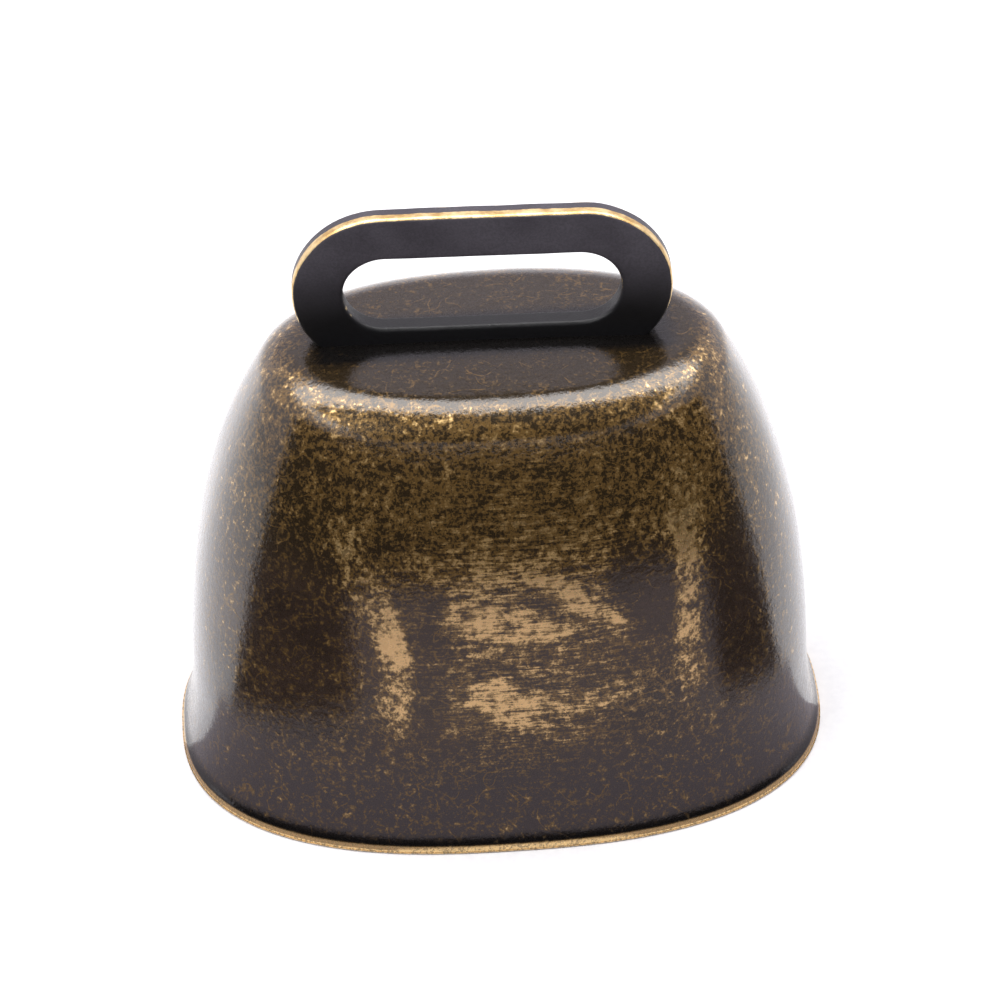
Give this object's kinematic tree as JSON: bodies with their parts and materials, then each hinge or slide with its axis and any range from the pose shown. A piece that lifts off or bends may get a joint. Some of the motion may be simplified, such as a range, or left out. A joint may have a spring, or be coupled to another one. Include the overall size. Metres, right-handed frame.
{
  "type": "cowbell",
  "caption": "Small oblong grazing bell in antique bronze, mouth down, with a flat strap loop on the crown and a hanging ball clapper inside.",
  "frame": {"origin": "middle of the bell's mouth, on the plane of the rim it stands on", "axes": "+X along the long side of the mouth and along the strap loop, +Y through the bell from the front face to the back face, +Z from the mouth up to the strap loop"},
  "size_m": [0.062, 0.041, 0.0593],
  "materials": {
    "bronze_shell": "antique bronze: dark brown patina rubbed back to brass on the faces and along the cut edge of the lip, under a clear lacquer",
    "charcoal_loop": "satin charcoal patina with brass showing on the outer edges",
    "braze": "dull brazed bead, darkened",
    "staple_wire": "heat-darkened steel wire",
    "link_wire": "drawn steel wire",
    "rod_wire": "drawn steel wire with a peened end",
    "ball_steel": "plain steel ball, lightly scuffed"
  },
  "bodies": {
    "bell": {"bell_shell": "bronze_shell", "strap_loop": "charcoal_loop", "loop_braze_front_left": "braze", "loop_braze_front_right": "braze", "loop_braze_back_left": "braze", "loop_braze_back_right": "braze", "clapper_staple": "staple_wire", "staple_braze_front": "braze", "staple_braze_back": "braze"},
    "link": {"swing_link": "link_wire"},
    "clapper": {"clapper_rod": "rod_wire", "clapper_ball": "ball_steel"}
  },
  "joints": [
    {"name": "link_sway", "type": "hinge", "parent": "bell", "child": "link", "pos_m": [0, 0, 0.0386], "axis": [0, 1, 0], "range_deg": [-20, 20]},
    {"name": "clapper_swing", "type": "hinge", "parent": "link", "child": "clapper", "pos_m": [0, 0, 0.0336], "axis": [1, 0, 0], "range_deg": [-29.5, 29.5]}
  ]
}
